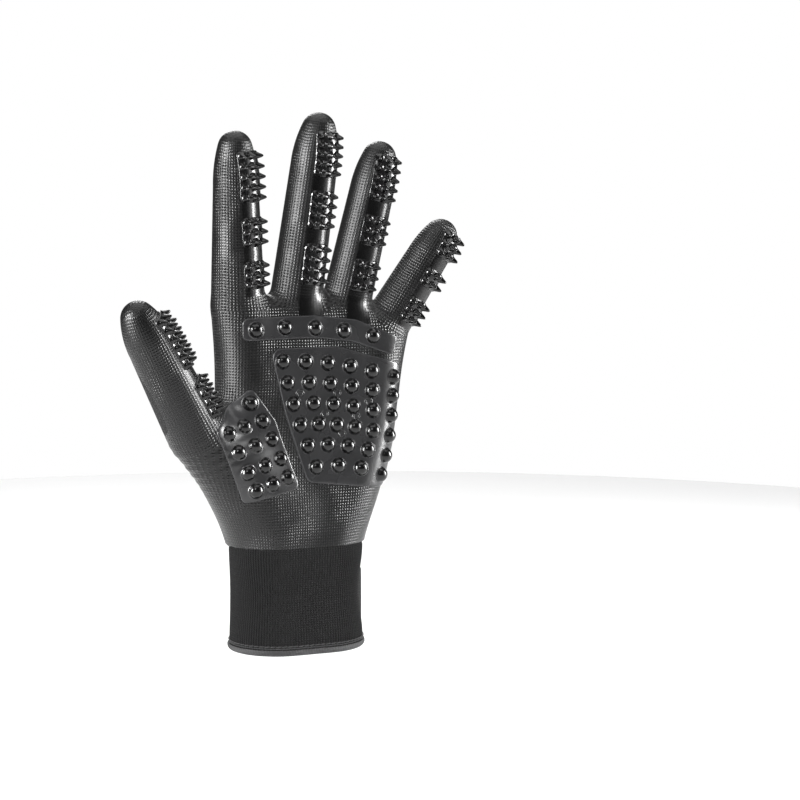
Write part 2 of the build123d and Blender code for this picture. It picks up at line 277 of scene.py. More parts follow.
def onto_skin(p, rounds=3):
    """Moves points to the skin, and gives its outward normals there."""
    p = p.copy()
    for _ in range(rounds):
        g = gradient(p)
        p -= g * (glove_distance(p) / np.maximum(np.einsum("ij,ij->i", g, g), 1e-6))[:, None]
    g = gradient(p)
    return p, g / np.linalg.norm(g, axis=1)[:, None]


def cast_to_skin(p, direction, reach=40.0):
    """Points where rays from outside first meet the skin."""
    direction = np.broadcast_to(np.asarray(direction, float), p.shape)
    t = np.zeros(len(p))
    for _ in range(60):
        t = np.minimum(t + glove_distance(p + direction * t[:, None]) * 0.9, reach)
    return p + direction * t[:, None]


def surface_nets(low, high, step):
    axes = [np.arange(low[a], high[a] + step, step) for a in range(3)]
    shape = tuple(len(a) for a in axes)
    field = np.empty(shape)
    for i, x in enumerate(axes[0]):
        y, z = np.meshgrid(axes[1], axes[2], indexing="ij")
        field[i] = glove_distance(
            np.stack([np.full(y.size, x), y.ravel(), z.ravel()], 1)
        ).reshape(y.shape)
    inside = field < 0
    cells = tuple(n - 1 for n in shape)
    corners = [(a, b, c) for a in (0, 1) for b in (0, 1) for c in (0, 1)]

    def at(array, corner):
        a, b, c = corner
        return array[a : a + cells[0], b : b + cells[1], c : c + cells[2]]

    count = sum(at(inside, c).astype(np.int8) for c in corners)
    active = (count > 0) & (count < 8)
    where = np.argwhere(active)
    ids = np.full(cells, -1)
    ids[active] = np.arange(len(where))
    total, hits = np.zeros((len(where), 3)), np.zeros(len(where))
    for c in corners:
        for a in range(3):
            if c[a]:
                continue
            d = list(c)
            d[a] = 1
            fa, fb = at(field, c)[active], at(field, tuple(d))[active]
            cross = (fa < 0) != (fb < 0)
            t = np.where(cross, fa / np.where(cross, fa - fb, 1), 0)
            q = np.tile(np.array(c, float), (len(where), 1))
            q[:, a] += t
            total[cross] += q[cross]
            hits[cross] += 1
    points = np.array(low) + (where + total / hits[:, None]) * step
    quads = []
    for a in range(3):
        b, c = (a + 1) % 3, (a + 2) % 3
        lower, upper = [slice(None)] * 3, [slice(None)] * 3
        lower[a], upper[a] = slice(0, -1), slice(1, None)
        start = inside[tuple(lower)]
        at_edge = np.argwhere(start != inside[tuple(upper)])
        ok = (at_edge[:, b] > 0) & (at_edge[:, c] > 0)
        ok &= (at_edge[:, b] < cells[b]) & (at_edge[:, c] < cells[c])
        at_edge = at_edge[ok]
        outward = start[tuple(at_edge.T)]
        ring = []
        for db, dc in ((-1, -1), (0, -1), (0, 0), (-1, 0)):
            q = at_edge.copy()
            q[:, b] += db
            q[:, c] += dc
            ring.append(ids[tuple(q.T)])
        ring = np.stack(ring, 1)
        ring[~outward] = ring[~outward][:, ::-1]
        quads.append(ring)
    return points, np.concatenate(quads)


# ------------------------------------------------------------------------------------------------
# Mesh helpers. Everything is worked out in millimetres and written in metres.
def make_mesh(name, points, faces, uv=None, smooth=True):
    mesh = bpy.data.meshes.new(name)
    mesh.from_pydata((np.asarray(points) / 1000.0).tolist(), [], [list(f) for f in faces])
    obj = bpy.data.objects.new(name, mesh)
    bpy.context.scene.collection.objects.link(obj)
    if smooth:
        mesh.polygons.foreach_set("use_smooth", [True] * len(mesh.polygons))
    if uv is not None:
        layer = mesh.uv_layers.new(name="Weave")
        layer.data.foreach_set("uv", np.asarray(uv, np.float32).ravel())
    mesh.update()
    return obj


def point_attribute(obj, name, values):
    attribute = obj.data.attributes.new(name, "FLOAT", "POINT")
    attribute.data.foreach_set("value", np.asarray(values, np.float32))


def use_normals(obj, normals):
    obj.data.normals_split_custom_set_from_vertices(np.asarray(normals).tolist())


class Build:
    """Collects pieces of a mesh."""

    def __init__(self):
        self.points, self.faces, self.uv, self.marks, self.count = [], [], [], [], 0

    def add(self, points, faces, uv=None, mark=0.0):
        points = np.asarray(points, float)
        self.points.append(points)
        self.marks.append(np.broadcast_to(mark, len(points)))
        for f in faces:
            self.faces.append([int(i) + self.count for i in f])
        if uv is None:
            uv = points[:, [0, 2]] / 100.0
        for f in faces:
            self.uv.extend(np.asarray(uv)[list(f)].tolist())
        self.count += len(points)

    def object(self, name, smooth=True):
        obj = make_mesh(name, np.concatenate(self.points), self.faces, self.uv, smooth)
        point_attribute(obj, "relief", np.concatenate(self.marks))
        return obj


def finish_piece(build, name, slot, body, *nodes):
    """Makes a piece that rides on a body and stands for CAD nodes."""
    obj = build.object(name)
    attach(obj, body)
    if nodes:
        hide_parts(*nodes)
    return obj


def row_quads(rows, n):
    """Quads between rows of n points, each row closed on itself."""
    return [
        (k * n + i, k * n + (i + 1) % n, (k + 1) * n + (i + 1) % n, (k + 1) * n + i)
        for k in range(rows - 1)
        for i in range(n)
    ]


def lathe(profile, around, closed_tip=True):
    """A turned shape on local +Z from (radius, height) pairs; the last point may be on the axis."""
    rings = profile[:-1] if closed_tip else profile
    turn = np.linspace(0, 2 * math.pi, around, endpoint=False)
    points = [
        np.stack([r * np.cos(turn), r * np.sin(turn), np.full(around, h)], 1) for r, h in rings
    ]
    faces = row_quads(len(rings), around)
    if closed_tip:
        points.append(np.array([[0.0, 0.0, profile[-1][1]]]))
        last, tip = (len(rings) - 1) * around, len(rings) * around
        faces += [(last + i, last + (i + 1) % around, tip) for i in range(around)]
    return np.concatenate(points), faces


def stand(points, place, normal, toward=(0.0, 0.0, 1.0)):
    """Stands local +Z points on a place, along its normal."""
    n = unit(normal)
    a = unit(np.cross(toward, n))
    b = np.cross(n, a)
    return np.asarray(place) + points[:, :1] * a + points[:, 1:2] * b + points[:, 2:3] * n


def lengths_along(path):
    return np.concatenate([[0], np.cumsum(np.linalg.norm(np.diff(path, axis=0), axis=1))])


def even_loop(points, spacing, last_gap):
    """Evenly spaced points round a closed loop."""
    closed = np.vstack([points, points[:1]])
    run = lengths_along(closed)
    at = np.arange(0, run[-1] - last_gap, spacing)
    return np.stack([np.interp(at, run, closed[:, k]) for k in (0, 1)], 1)


def round_outline(corners, radius, spacing):
    """Evenly spaced points round a closed polygon whose corners are rounded."""
    corners = np.asarray(corners, float)
    out = []
    for i in range(len(corners)):
        p, a, b = corners[i], corners[i - 1], corners[(i + 1) % len(corners)]
        u, v = unit(a - p), unit(b - p)
        half = math.acos(np.clip(u @ v, -1, 1)) / 2
        shorter = min(np.linalg.norm(a - p), np.linalg.norm(b - p))
        cut = min(radius / math.tan(half), 0.45 * shorter)
        r = cut * math.tan(half)
        centre = p + unit(u + v) * (r / math.sin(half))
        start, end = p + u * cut - centre, p + v * cut - centre
        t0, t1 = math.atan2(start[1], start[0]), math.atan2(end[1], end[0])
        sweep = (t1 - t0 + math.pi) % (2 * math.pi) - math.pi
        t = t0 + np.linspace(0, 1, 9) * sweep
        out.append(centre + r * np.stack([np.cos(t), np.sin(t)], 1))
    return even_loop(np.concatenate(out), spacing, spacing / 2)


def inset_loop(loop, distance):
    ahead, behind = np.roll(loop, -1, 0), np.roll(loop, 1, 0)
    tangent = ahead - behind
    tangent /= np.linalg.norm(tangent, axis=1)[:, None]
    normal = np.stack([-tangent[:, 1], tangent[:, 0]], 1)
    area = np.sum(loop[:, 0] * ahead[:, 1] - ahead[:, 0] * loop[:, 1])
    return loop + normal * distance * (1 if area > 0 else -1)


def inside_polygon(points, loop):
    x, y = points[:, 0], points[:, 1]
    inside = np.zeros(len(points), bool)
    for (x0, y0), (x1, y1) in zip(loop, np.roll(loop, -1, 0)):
        crosses = (y0 > y) != (y1 > y)
        slope = np.where(y1 == y0, 0, (x1 - x0) * (y - y0) / np.where(y1 == y0, 1, y1 - y0))
        inside ^= crosses & (x < x0 + slope)
    return inside


def plate_sheet(outline, height, grain):
    """A flat plate with a rounded edge: 2-D points, heights and faces. Its edge starts below 0."""
    ahead = np.roll(outline, -1, 0)
    if np.sum(outline[:, 0] * ahead[:, 1] - ahead[:, 0] * outline[:, 1]) < 0:
        outline = outline[::-1]
    steps = [(0.0, -0.35), (0.0, 0.35), (0.12, 0.7), (0.35, 0.92), (0.7, 1.0)]
    loops = [inset_loop(outline, d) for d, _ in steps]
    n = len(outline)
    points = list(np.concatenate(loops))
    heights = [h * height for _, h in steps for _ in range(n)]
    faces = row_quads(len(steps), n)
    rim = loops[-1]
    low, high = rim.min(0), rim.max(0)
    gx, gy = np.meshgrid(np.arange(low[0], high[0], grain), np.arange(low[1], high[1], grain))
    grid = np.stack([gx.ravel(), gy.ravel()], 1)
    grid = grid[inside_polygon(grid, inset_loop(rim, grain * 0.6))]
    base = len(points) - n
    verts = [Vector(p) for p in rim] + [Vector(p) for p in grid]
    out, _, tris, _, _, _ = delaunay_2d_cdt(verts, [], [list(range(n))], 1, 1e-6)
    points += [np.array(v) for v in out[n:]]
    heights += [height] * (len(out) - n)
    faces += [tuple(base + i for i in t) for t in tris]
    points = np.array(points)
    return points, np.array(heights), faces


# ------------------------------------------------------------------------------------------------
# The skin: one form, cut into patches; the hand's patch rides on the hand's body.
THUMB_DIRECTION = unit((-0.8, -0.2, 0.56))
THUMB_WEB = np.array([-41.0, -5.0, 117.0])


def thumb_advance(p):
    return (p - THUMB_WEB) @ THUMB_DIRECTION


def by_digit(p):
    """Each digit's number, the digit, and which of the points are nearest to it."""
    nearest = np.stack([d.distance(p) for d in DIGITS.values()], 1).argmin(1)
    for k, d in enumerate(DIGITS.values()):
        yield k, d, nearest == k


# The bare knit on the back ends in a pointed arch on each digit, this far below its tip.
ARCH_DROP = {"index": 34, "middle": 36, "ring": 29, "pinky": 20, "thumb": 24}
ARCH_LENGTH, ARCH_HALF = 26.0, 13.0


def coat_line(p):
    """How far a place on the skin is inside the dipped area, in millimetres."""
    hand = 3.0 - p[:, 1] + 0.5 * np.sin(p[:, 2] * 0.21) + 0.3 * np.sin(p[:, 2] * 0.53 + 1)
    coat = hand.copy()
    for _, d, mine in by_digit(p):
        angle, rho, s = d.polar(p)
        apex = d.length - ARCH_DROP[d.name]
        begin = apex - ARCH_LENGTH
        off_back = (math.pi - np.abs(angle)) * rho
        narrowing = np.clip((s - begin) / (apex - begin), 0, 1) ** 1.6
        width = ARCH_HALF * np.sqrt(np.clip(1 - narrowing, 0, 1))
        beyond = np.hypot(np.maximum(s - apex, 0), off_back)
        line = np.where(s > apex, beyond, off_back - width)
        share = ease((s + 4) / 14)
        coat[mine] = (hand * (1 - share) + line * share)[mine]
    return coat


STRIPS = {  # smooth strips of the dip along each row of blocks: turn, half width, start, end
    "index": (17, 5.6, 4.0, 66.0),
    "middle": (7, 5.8, -8.0, 75.0),
    "ring": (3, 5.6, -10.0, 66.0),
    "pinky": (14, 5.2, 2.0, 49.0),
    "thumb": (8, 5.6, 3.0, 56.0),
}


def strip_line(p):
    """How far a place on the skin is inside the smooth strip between the blocks."""
    inside = np.full(len(p), -5.0)
    for _, d, mine in by_digit(p):
        turn, half, start, end = STRIPS[d.name]
        angle, rho, s = d.polar(p)
        off = np.abs(angle - math.radians(turn)) * rho
        inside[mine] = np.minimum(half - off, np.minimum(s - start, end - s))[mine]
    return np.clip(inside, -5.0, 5.0)


HAND_PERIOD, DIGIT_PERIOD, NO_PERIOD = 200.0, 66.0, 1e6  # of the knit's first coordinate
CHART_START = dict.fromkeys(FINGERS, -2.0) | {"thumb": -6.0}


def weave(p):
    """Knit coordinates in millimetres: on the hand, on each digit, then on each rounded end."""
    centre, width, depth = section(p[:, 2])
    half = depth / 2
    flat = width - depth
    x, y = p[:, 0] - centre, p[:, 1]
    across = np.clip(x, -flat / 2, flat / 2)
    lean = np.arctan2(x - across, np.abs(y))
    arc = across + lean * half
    around = flat * 2 + math.pi * depth
    u = np.where(y < 0, arc, around / 2 - arc) / around * HAND_PERIOD
    charts = [(u, p[:, 2], HAND_PERIOD)]
    ends = []
    for d in DIGITS.values():
        dx, dy, s = d.local(p)
        charts.append((np.arctan2(dx, -dy) / (2 * math.pi) * DIGIT_PERIOD, s, DIGIT_PERIOD))
        ends.append((dx, dy, NO_PERIOD))
    return charts + ends


def chart_of(centre):
    """Which knit coordinates each face takes."""
    chart = np.zeros(len(centre), int)
    for k, d, mine in by_digit(centre):
        s = (centre - d.base) @ d.axis
        chart[mine & (s > CHART_START[d.name])] = 1 + k
        chart[mine & (s > d.length - 0.4 * NOSE_R)] = 1 + len(DIGITS) + k
    return chart


SKIN_BOTTOM = 47.3  # inside the cuff's top edge
THUMB_TIP_PATCH = 21.5


def build_skin():
    low, high = in_mm(cad_box)
    low, high = low - 4.0, high + 4.0
    low[2] = SKIN_BOTTOM
    points, quads = surface_nets(low, high, CELL)
    points, normals = onto_skin(points)
    centre = points[quads].mean(1)
    patch = np.full(len(quads), "hand", dtype=object)
    for _, d, mine in by_digit(centre):
        s = (centre - d.base) @ d.axis
        if d.name == "thumb":
            patch[mine & (thumb_advance(centre) > 0) & (s > -16)] = "thumb_base"
        else:
            patch[mine & (s > KNUCKLE[d.name][0])] = f"{d.name}_base"
        for number, stall in enumerate(d.stalls[1:]):
            previous = KNUCKLE[d.name][1] if d.name != "thumb" else THUMB_TIP_PATCH
            if number:
                previous = (BENDS[d.name][0][1] + BENDS[d.name][1][0]) / 2
            patch[mine & (s > previous)] = f"{d.name}_{stall}"
    coat = coat_line(points)
    strip = strip_line(points)
    charts = weave(points)
    chart = chart_of(centre)
    pieces = {}
    for key in sorted(set(patch)):
        faces = quads[patch == key]
        used, flat = np.unique(faces, return_inverse=True)
        faces = flat.reshape(faces.shape)
        uv = np.empty(faces.shape + (2,))
        for number, (u, v, period) in enumerate(charts):
            mine = chart[patch == key] == number
            uu, vv = u[used][faces[mine]], v[used][faces[mine]]
            middle = np.median(uu, axis=1)[:, None]
            uv[mine] = np.stack([uu - np.round((uu - middle) / period) * period, vv], -1) / 100.0
        obj = make_mesh(f"skin_{key}", points[used], faces, uv.reshape(-1, 2))
        point_attribute(obj, "coat", coat[used])
        point_attribute(obj, "bridge", strip[used])
        use_normals(obj, normals[used])
        pieces[key] = obj
    return pieces


def span(d, start, end):
    return [Vector((d.base + d.axis * s) / 1000.0) for s in (start, end)]


def bend_with(obj, name, stall):
    """Bakes a stall piece's placing into its mesh."""
    d = DIGITS[name]
    number = d.stalls.index(stall)
    if number == 0:
        if name == "thumb":
            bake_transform(obj)
        else:
            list(span(d, *KNUCKLE[name]))
            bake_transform(obj)
    else:
        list(span(d, *BENDS[name][number - 1]))
        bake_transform(obj)
    return obj


skin = build_skin()
for key, obj in skin.items():
    if key == "hand":
        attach(obj, "hand")
        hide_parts("palm_liner", "palm_coating")
    else:
        name, stall = key.split("_")
        bend_with(obj, name, stall)
        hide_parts(f"{key}_liner", f"{key}_coating")


# ------------------------------------------------------------------------------------------------
# Moulded rubber: plates with nubs on the digits, plates with domes on the palm.
PLATE_T = 1.0
BLOCK_W, BLOCK_R, NUB_ACROSS = 12.6, 2.0, 4.3
NUB_SIDES, DOME_SIDES, RING_SIDES = 16, 28, 24
CAST_FROM = 7.0  # how far outside a digit the rays towards its skin start
BLOCKS = {  # turn round the digit in degrees, then (start, end, rows) of each block
    "index": (17, [(7.3, 19.4, 3), (25.6, 38.5, 3), (44.7, 67.0, 5)]),
    "middle": (7, [(9.0, 27.4, 4), (33.6, 50.6, 4), (56.6, 76.2, 5)]),
    "ring": (3, [(5.5, 20.0, 3), (26.2, 40.0, 3), (46.2, 67.0, 5)]),
    "pinky": (14, [(4.8, 16.4, 3), (22.6, 31.4, 2), (37.6, 50.0, 3)]),
    "thumb": (8, [(4.5, 23.4, 4), (30.6, 57.0, 6)]),
}
NUB_PROFILE = [
    (2.2, -0.25), (1.85, 0.08), (1.58, 0.4), (1.36, 0.95), (1.12, 1.6), (0.88, 2.25), (0.66, 2.8),
    (0.46, 3.16), (0.24, 3.34), (0.0, 3.4),
]
DOME_R, DOME_H = 3.45, 2.9
RING_PROFILE = [(0.95, -0.1), (1.2, 0.24), (1.5, 0.4), (1.8, 0.24), (2.05, -0.1)]
ROW_BULGE = 2.2
# Outlines and rows as X and Z from the lower left corner of each plate's own box.
PALM = {
    "palm_pad": (
        4.0,
        [(-2.2, 62.8), (29.0, 63.2), (60.8, 54.4), (57.6, 17.6), (52.4, -0.8),
         (13.4, 3.6), (4.2, 33.6)],
        [
            (3.3, 57.2, 56.0, 48.6, 6),
            (5.2, 47.8, 55.4, 40.2, 6),
            (7.8, 38.5, 54.8, 31.4, 6),
            (10.7, 29.2, 53.9, 22.4, 6),
            (14.0, 20.0, 52.0, 13.6, 5),
            (17.6, 10.4, 49.4, 5.2, 4),
        ],
        [(11.0, 43.1), (28.6, 42.6), (43.6, 38.2), (22.4, 33.6), (37.4, 32.0), (30.4, 24.6)],
    ),
    "thenar_pad": (
        2.5,
        [(17.6, 49.0), (-1.6, 31.0), (12.0, -1.2), (38.2, 4.0), (28.2, 34.4)],
        [
            (17.3, 42.0, 17.3, 42.0, 1),
            (4.9, 29.5, 21.9, 34.2, 3),
            (8.9, 21.4, 25.9, 26.0, 3),
            (13.1, 12.6, 29.3, 17.4, 3),
            (16.9, 4.6, 32.1, 9.2, 3),
        ],
        [],
    ),
    "knuckle_bar": (
        2.5,
        [(0.0, 17.4), (33.5, 18.2), (53.5, 15.8), (73.5, 7.8), (70.5, -0.7),
         (51.5, 6.0), (33.5, 8.2), (0.0, 7.6)],
        [(5.6, 12.4, 60.9, 8.4, 5)],
        [],
    ),
}


def dome_profile():
    ball = (DOME_R**2 + DOME_H**2) / (2 * DOME_H)
    lean = math.acos((ball - DOME_H) / ball)
    rows = [(DOME_R + 0.55, -0.2), (DOME_R + 0.2, 0.03), (DOME_R + 0.02, 0.26)]
    for t in np.linspace(0.92, 0.08, 8):
        rows.append((ball * math.sin(lean * t), DOME_H - ball + ball * math.cos(lean * t)))
    return rows + [(0.0, DOME_H)]


def on_stall(d, turn, flat, height):
    """Lays plate points (across, station) on a digit, at a height above its skin."""
    r = d.radius(flat[:, 1]) + PLATE_T
    angle = turn + np.arcsin(np.clip(flat[:, 0] / r, -0.97, 0.97))
    out = d.out(angle)
    hit = cast_to_skin(d.point(angle, flat[:, 1], r + CAST_FROM), -out)
    return hit + out * np.asarray(height)[:, None]


def stall_block(name, number):
    d = DIGITS[name]
    turn = math.radians(BLOCKS[name][0])
    start, end, rows = BLOCKS[name][1][number]
    w = BLOCK_W / 2
    corners = [(-w, start), (w, start), (w, end), (-w, end)]
    flat, height, faces = plate_sheet(round_outline(corners, BLOCK_R, 0.7), PLATE_T, 0.85)
    build = Build()
    # The block's plate is marked 0.8, so it takes mostly the nubs' colour and a little of the
    # plate's painted sheen.
    build.add(on_stall(d, turn, flat, height), faces, flat / 100.0, 0.8)
    pitch = (end - start) / rows
    nub, nub_faces = lathe(NUB_PROFILE, NUB_SIDES)
    for row in range(rows):
        station = start + pitch * (row + 0.5)
        r = float(d.radius(station)) + PLATE_T
        for column in (-1, 0, 1):
            angle = np.array([turn + column * NUB_ACROSS / r])
            out = d.out(angle)
            above = d.point(angle, np.array([station]), r + CAST_FROM)
            foot = cast_to_skin(above, -out) + out * PLATE_T
            points = stand(nub, foot[0], out[0], d.axis)
            uv = nub[:, :2] / 100.0 + np.array([column * 0.05, station / 100.0])
            build.add(points, nub_faces, uv, 1.0)
    stall = d.stalls[number]
    obj = build.object(f"{name}_{stall}_nub_block")
    bend_with(obj, name, stall)
    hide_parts(f"{name}_{stall}_nubs")
    return obj


def on_palm(points):
    """Where points (x, z) seen from the front lie on the palm, and the way out there."""
    far = np.stack([points[:, 0], np.full(len(points), -58.0), points[:, 1]], 1)
    hit = cast_to_skin(far, (0.0, 1.0, 0.0), 90.0)
    g = gradient(hit)
    return hit, g / np.linalg.norm(g, axis=1)[:, None]


def on_plate(build, shape, places, mark):
    """Stands copies of a turned shape on a palm plate, at (x, z) places."""
    points, faces = shape
    for place, foot, n in zip(places, *on_palm(places)):
        uv = (points[:, :2] + place) / 100.0
        build.add(stand(points, foot + n * PLATE_T, n), faces, uv, mark)


def palm_plate(node):
    corner = in_mm(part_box(node))[0][[0, 2]]
    radius, outline, rows, rings = PALM[node]
    outline = round_outline(np.array(outline) + corner, radius, 0.9)
    flat, height, faces = plate_sheet(outline, PLATE_T, 1.1)
    hit, out = on_palm(flat)
    build = Build()
    build.add(hit + out * height[:, None], faces, flat / 100.0)
    places = []
    for x0, z0, x1, z1, count in rows:
        for t in np.arange(count) / max(count - 1, 1):
            bulge = ROW_BULGE * 4 * t * (1 - t) if count > 3 else 0.0
            places.append((x0 + (x1 - x0) * t, z0 + (z1 - z0) * t + bulge))
    dome = lathe(dome_profile(), DOME_SIDES)
    # Each dome's foot blends from the plate's colour, painted lighter as a sheen, to the dome's
    # colour over its lowest 0.4 millimetres.
    on_plate(build, dome, np.array(places) + corner, np.clip(dome[0][:, 2] / 0.4, 0, 1))
    if rings:
        # The rings are marked 0.4, so they take part of the plate's painted sheen.
        on_plate(build, lathe(RING_PROFILE, RING_SIDES, False), np.array(rings) + corner, 0.4)
    return finish_piece(build, node + "_rubber", "nub_rubber", "hand", node)


rubber_pieces = [stall_block(n, k) for n in DIGITS for k in range(len(DIGITS[n].stalls))]
rubber_pieces += [palm_plate(node) for node in PALM]

# ------------------------------------------------------------------------------------------------
# The ribbed cuff and its rolled hem.
CUFF_LOW, CUFF_HIGH = in_mm(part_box("cuff"))
CUFF_R = (CUFF_HIGH[1] - CUFF_LOW[1]) / 2
CUFF_FLAT = (CUFF_HIGH[0] - CUFF_LOW[0]) / 2 - CUFF_R
CUFF_ROUND = 4 * CUFF_FLAT + 2 * math.pi * CUFF_R
RIBS = 136
WAIST = 1.9
RIB = CUFF_ROUND / RIBS


def oval(u, offset):
    """Points and outward directions round the cuff, u from the palm's middle towards +X."""
    u = np.mod(u, CUFF_ROUND)
    half = math.pi * CUFF_R
    turn = np.clip(u - CUFF_FLAT, 0, half) + np.clip(u - 3 * CUFF_FLAT - half, 0, half)
    angle = -math.pi / 2 + turn / CUFF_R
    x = np.clip(u, 0, CUFF_FLAT) - np.clip(u - CUFF_FLAT - half, 0, 2 * CUFF_FLAT)
    x = x + np.clip(u - 3 * CUFF_FLAT - 2 * half, 0, CUFF_FLAT)
    out = np.stack([np.cos(angle), np.sin(angle)], -1)
    point = np.stack([x, np.zeros_like(x)], -1) + out * (CUFF_R + np.asarray(offset))[..., None]
    return point, out


def waist(z, out_y):
    """How far the cuff draws in between the hem and the hand, except under the strap."""
    t = np.clip((z - 4.0) / 42.0, 0, 1)
    return -WAIST * ease((0.6 - out_y) / 0.6) * np.sin(math.pi * t) ** 2


def band(build, rows, samples, wave):
    """A closed band round the cuff from (offset, z) rows; wave gives the extra height."""
    u = np.arange(samples) * (CUFF_ROUND / samples)
    points, uv = [], []
    for offset, z in rows:
        _, out = oval(u, np.zeros(samples))
        extra = wave(u, z) + offset + waist(z, out[:, 1])
        xy, _ = oval(u, extra)
        points.append(np.column_stack([xy, np.full(samples, z)]))
        uv.append(np.column_stack([u / 100.0, np.full(samples, z / 100.0)]))
    build.add(np.concatenate(points), row_quads(len(rows), samples), np.concatenate(uv))


def make_cuff():
    top = CUFF_HIGH[2] + 4.6

    def ribs(u, z):
        fold = np.abs(np.sin(math.pi * u / RIB)) ** 0.8 - 0.6
        return 0.34 * fold * float(np.clip((top - z) / 3.0, 0, 1))

    rows = []
    for z in np.arange(CUFF_LOW[2], top + 0.01, 1.2):
        tuck = -0.45 * float(np.clip((z - CUFF_HIGH[2]) / 1.4, 0, 1))
        rows.append((tuck - 0.1, float(z)))
    build = Build()
    band(build, rows, RIBS * 6, ribs)
    end = rows[-1][1]
    inner = [(-1.0, end), (-1.7, end - 0.3), (-1.7, 30.0), (-1.7, 15.0), (-1.7, 2.0)]
    band(build, inner, RIBS * 2, lambda u, z: 0.0 * u)
    return finish_piece(build, "cuff_ribbed_knit", "knit", "hand", "cuff")


def make_hem():
    """The rolled edge, wrapped with slanting overlock thread."""
    turn = np.linspace(-0.5, 2 * math.pi - 0.5 - 0.35, 18)
    rows = [(-0.8 + 1.55 * math.cos(t), 1.95 + 1.9 * math.sin(-t)) for t in turn]

    def wraps(u, z):
        return 0.24 * np.abs(np.sin(math.pi * (u + 0.35 * z) / RIB))

    build = Build()
    band(build, rows[::-1], RIBS * 6, wraps)
    return finish_piece(build, "hem_overlock_roll", "overlock_thread", "hand", "hem")


def thread(build, path, radius, side, around=7):
    """A short round thread along a path, tapered at its ends."""
    path = np.asarray(path, float)
    n = len(path)
    tangent = np.gradient(path, axis=0)
    tangent /= np.linalg.norm(tangent, axis=1)[:, None]
    side = np.cross(tangent, np.broadcast_to(side, path.shape))
    side /= np.linalg.norm(side, axis=1)[:, None]
    up = np.cross(side, tangent)
    turn = np.linspace(0, 2 * math.pi, around, endpoint=False)
    girth = radius * np.sin(np.linspace(0.25, math.pi - 0.25, n)) ** 0.5
    points = path[:, None] + girth[:, None, None] * (
        side[:, None] * np.cos(turn)[None, :, None] + up[:, None] * np.sin(turn)[None, :, None]
    )
    points = points.reshape(-1, 3)
    faces = row_quads(n, around)
    faces.append(tuple(range(around))[::-1])
    faces.append(tuple((n - 1) * around + i for i in range(around)))
    run = lengths_along(path)
    uv = np.column_stack([np.repeat(run, around), np.tile(turn * radius, n)]) / 100.0
    build.add(points, faces, uv, 1.0)


def hump(n):
    """The rise of a stitch between its two ends."""
    return np.sin(np.linspace(0.1, math.pi - 0.1, n))


def make_cover_stitch():
    """The line of stitches that holds the rolled hem."""
    build = Build()
    pitch = RIB * 2
    for i in range(RIBS // 2):
        u = (i + 0.5) * pitch + np.linspace(-0.46, 0.46, 6) * pitch
        z = 4.45 + np.linspace(-0.12, 0.12, 6)
        lift = 0.28 * hump(6) + 0.12
        _, out = oval(u, np.zeros(6))
        xy, out = oval(u, lift + waist(4.45, out[:, 1]))
        thread(build, np.column_stack([xy, z]), 0.27, np.append(out[2], 0.0))
    return finish_piece(build, "hem_cover_stitch", "overlock_thread", "hand")


cuff, hem, hem_stitch = make_cuff(), make_hem(), make_cover_stitch()

# ------------------------------------------------------------------------------------------------
# The wrist strap on the back of the cuff.
STRAP_LOW, STRAP_HIGH = in_mm(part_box("strap_tab"))
STRAP_Z = (STRAP_LOW[2], STRAP_HIGH[2])
STRAP_R = 11.0
STRAP_EDGE_W = 3.4
LEVEL = {  # (low, high) of each layer above the cuff
    "loop": (0.0, 0.8), "hook": (1.1, 1.9), "tab": (1.9, 2.9),
    "panel": (2.9, 3.3), "edge": (2.9, 3.5),
}
STITCH_GAP = 3.0  # a longer step round a loop would cut its corner
HINGE, ANCHOR = math.radians(24.0), math.radians(6.0)
WRAP_R = CUFF_R + 2.4
TO_BACK = (math.pi / 2 - HINGE) * WRAP_R
STRAP_END = TO_BACK + CUFF_FLAT - STRAP_LOW[0]


def wrap(q, z, level):
    """A place over the cuff: q along the strap from its hinge, at a level above the cuff."""
    q = np.asarray(q, float)
    far = np.clip(q - TO_BACK - 2 * CUFF_FLAT, 0, None)
    angle = HINGE + np.minimum(q, TO_BACK) / WRAP_R + far / WRAP_R
    x = CUFF_FLAT - np.clip(q - TO_BACK, 0, 2 * CUFF_FLAT)
    out = np.stack([np.cos(angle), np.sin(angle), np.zeros_like(angle)], 1)
    centre = np.stack([x, np.zeros_like(x), np.asarray(z, float) + 0 * x], 1)
    return centre + out * (CUFF_R + np.asarray(level, float) + 0 * x)[:, None], out


def strap_outline(inset, beyond=0.0, start=0.0):
    """The strap's outline as q and z, with its round free end."""
    z0, z1, end = STRAP_Z[0] + inset, STRAP_Z[1] - inset, STRAP_END - inset + beyond
    r = STRAP_R - inset
    turn = np.linspace(-math.pi / 2, 0, 9)
    low = np.stack([end - r + r * np.cos(turn), z0 + r + r * np.sin(turn)], 1)
    high = np.stack([end - r + r * np.cos(turn[::-1]), z1 - r - r * np.sin(turn[::-1])], 1)
    points = np.vstack([[(start, z0)], low, high, [(start, z1)]])
    return even_loop(points, 0.7, 0.3)


def slab(build, outline, low, high, grain, top=None, mark=0.0):
    """A closed flexible slab over the cuff; top gives extra height on the outside."""
    mid, half = (low + high) / 2, (high - low) / 2
    flat, height, faces = plate_sheet(outline, half, grain)
    height = np.maximum(height, 0.0)
    extra = np.zeros(len(flat)) if top is None else top(flat) * height / half
    outer, _ = wrap(flat[:, 0], flat[:, 1], mid + height + extra)
    inner, _ = wrap(flat[:, 0], flat[:, 1], mid - height)
    build.add(outer, faces, flat / 100.0, mark)
    build.add(inner, [f[::-1] for f in faces], flat / 100.0, mark)


def edge_distance(flat, outline):
    """Distance from 2-D points to an outline."""
    best = np.full(len(flat), 1e9)
    for a, b in zip(outline, np.roll(outline, -1, 0)):
        run = b - a
        t = np.clip(((flat - a) @ run) / max(run @ run, 1e-9), 0, 1)
        off = flat - a - t[:, None] * run
        best = np.minimum(best, np.hypot(off[:, 0], off[:, 1]))
    return best


